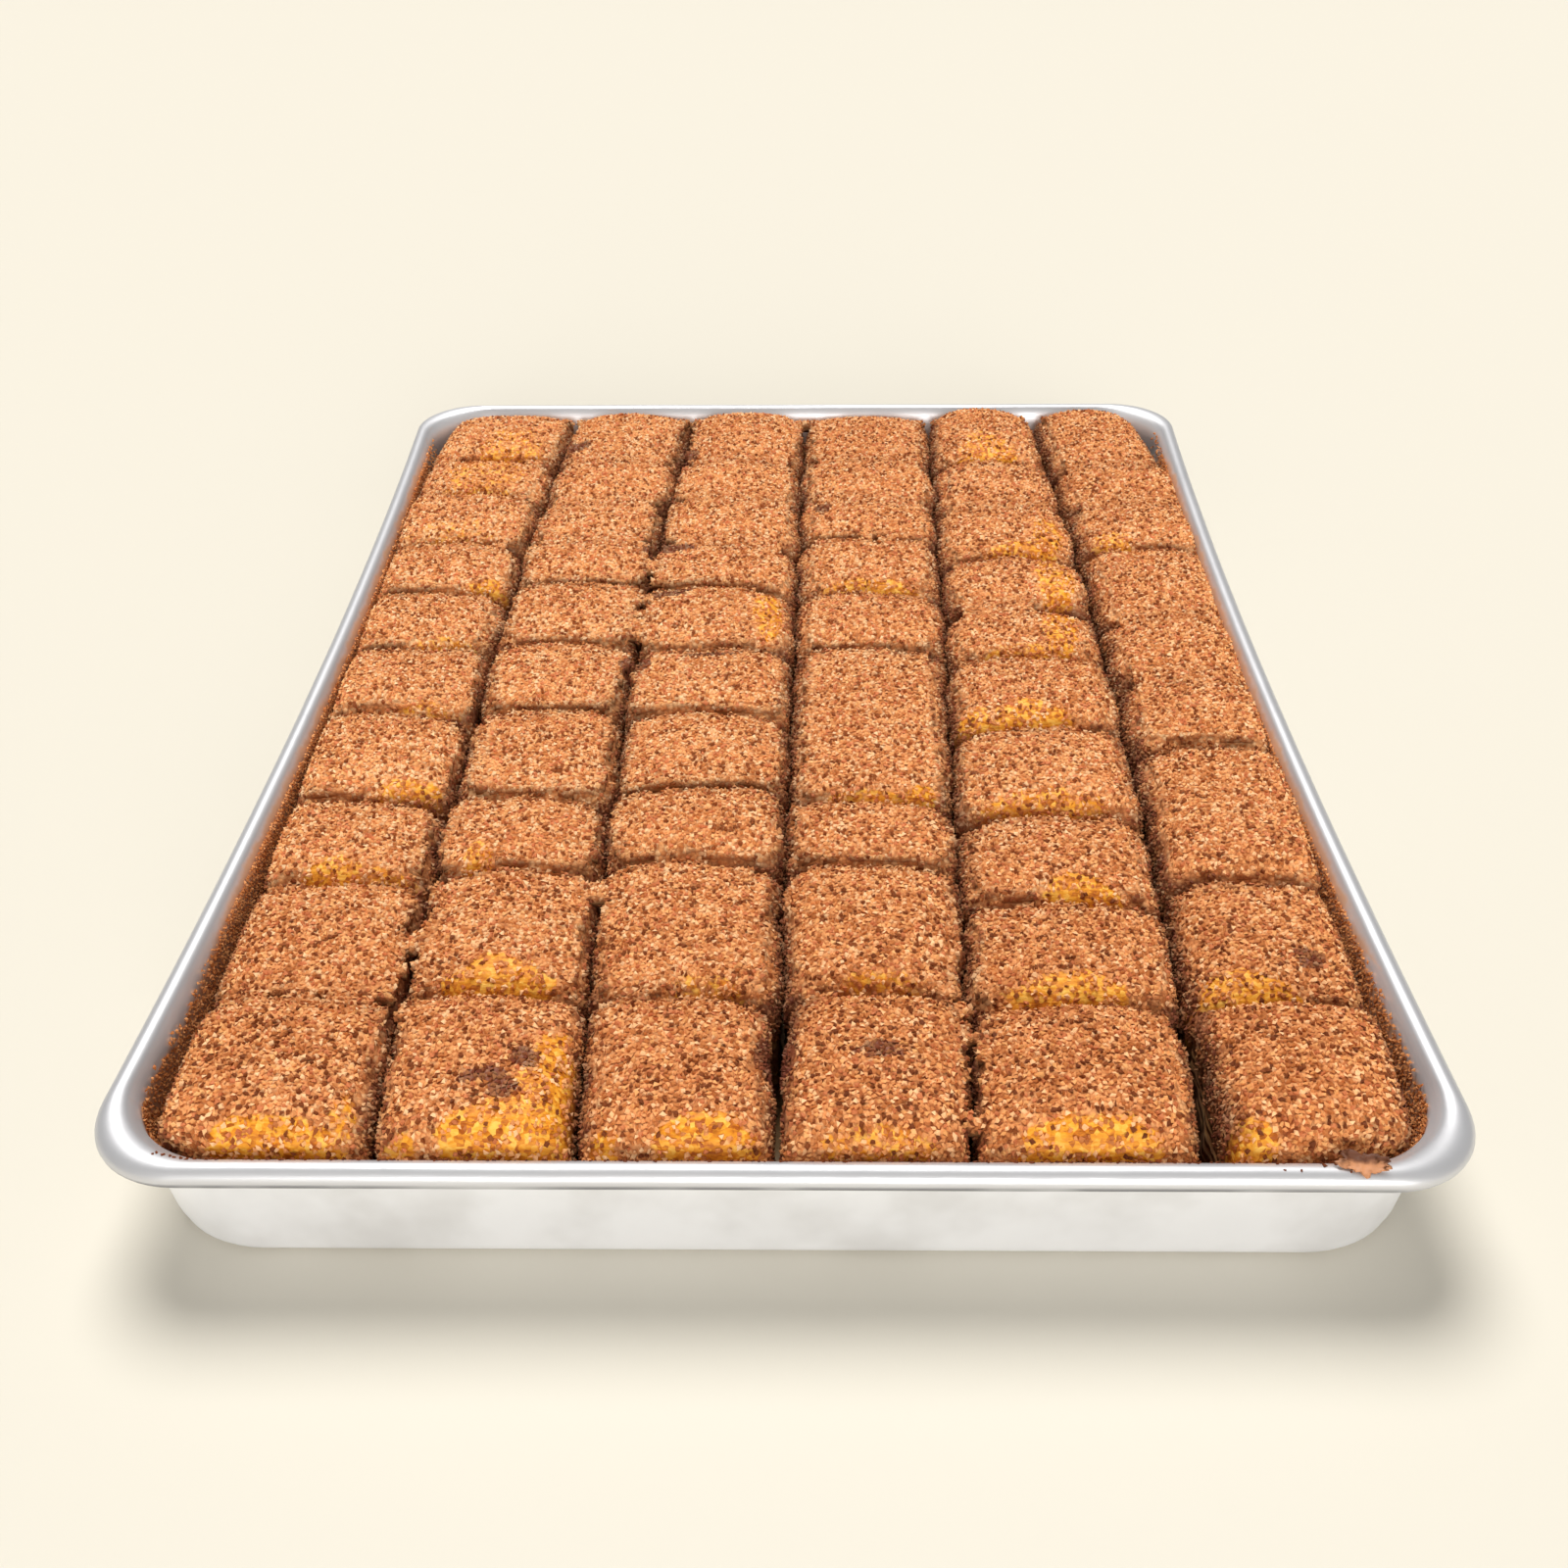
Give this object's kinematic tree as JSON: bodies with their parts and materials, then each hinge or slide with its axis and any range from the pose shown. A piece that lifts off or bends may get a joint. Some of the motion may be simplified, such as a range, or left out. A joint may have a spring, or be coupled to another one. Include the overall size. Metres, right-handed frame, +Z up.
{
  "type": "tray of cold milk baklava",
  "caption": "Rimmed aluminium baking tray filled edge to edge with hand-cut pillows of soaked pastry under ground chocolate.",
  "frame": {"origin": "middle of the tray's underside", "axes": "+Z up, +Y along the tray away from the near end of the picture, +X to the right as seen from the near end"},
  "size_m": [0.3276, 0.457, 0.0467],
  "materials": {
    "tray_metal": "satin pressed sheet, lightly smeared with syrup inside",
    "baklava": "crumbly matt ground milk chocolate over soaked golden pastry",
    "topping": "loose dry grains of ground chocolate"
  },
  "bodies": {
    "root": {"tray": "tray_metal", "baklava_c1_r01": "baklava", "baklava_c1_r02": "baklava", "baklava_c1_r03": "baklava", "baklava_c1_r04": "baklava", "baklava_c1_r05": "baklava", "baklava_c1_r06": "baklava", "baklava_c1_r07": "baklava", "baklava_c1_r08": "baklava", "baklava_c1_r09": "baklava", "baklava_c1_r10": "baklava", "baklava_c2_r01": "baklava", "baklava_c2_r02": "baklava", "baklava_c2_r03": "baklava", "baklava_c2_r04": "baklava", "baklava_c2_r05": "baklava", "baklava_c2_r06": "baklava", "baklava_c2_r07": "baklava", "baklava_c2_r08": "baklava", "baklava_c2_r09": "baklava", "baklava_c2_r10": "baklava", "baklava_c3_r01": "baklava", "baklava_c3_r02": "baklava", "baklava_c3_r03": "baklava", "baklava_c3_r04": "baklava", "baklava_c3_r05": "baklava", "baklava_c3_r06": "baklava", "baklava_c3_r07": "baklava", "baklava_c3_r08": "baklava", "baklava_c3_r09": "baklava", "baklava_c3_r10": "baklava", "baklava_c4_r01": "baklava", "baklava_c4_r02": "baklava", "baklava_c4_r03": "baklava", "baklava_c4_r04": "baklava", "baklava_c4_r05": "baklava", "baklava_c4_r06": "baklava", "baklava_c4_r07": "baklava", "baklava_c4_r08": "baklava", "baklava_c4_r09": "baklava", "baklava_c5_r01": "baklava", "baklava_c5_r02": "baklava", "baklava_c5_r03": "baklava", "baklava_c5_r04": "baklava", "baklava_c5_r05": "baklava", "baklava_c5_r06": "baklava", "baklava_c5_r07": "baklava", "baklava_c5_r08": "baklava", "baklava_c5_r09": "baklava", "baklava_c5_r10": "baklava", "baklava_c6_r01": "baklava", "baklava_c6_r02": "baklava", "baklava_c6_r03": "baklava", "baklava_c6_r04": "baklava", "baklava_c6_r05": "baklava", "baklava_c6_r06": "baklava", "baklava_c6_r07": "baklava", "baklava_c6_r08": "baklava", "baklava_c6_r09": "baklava"}
  },
  "joints": []
}
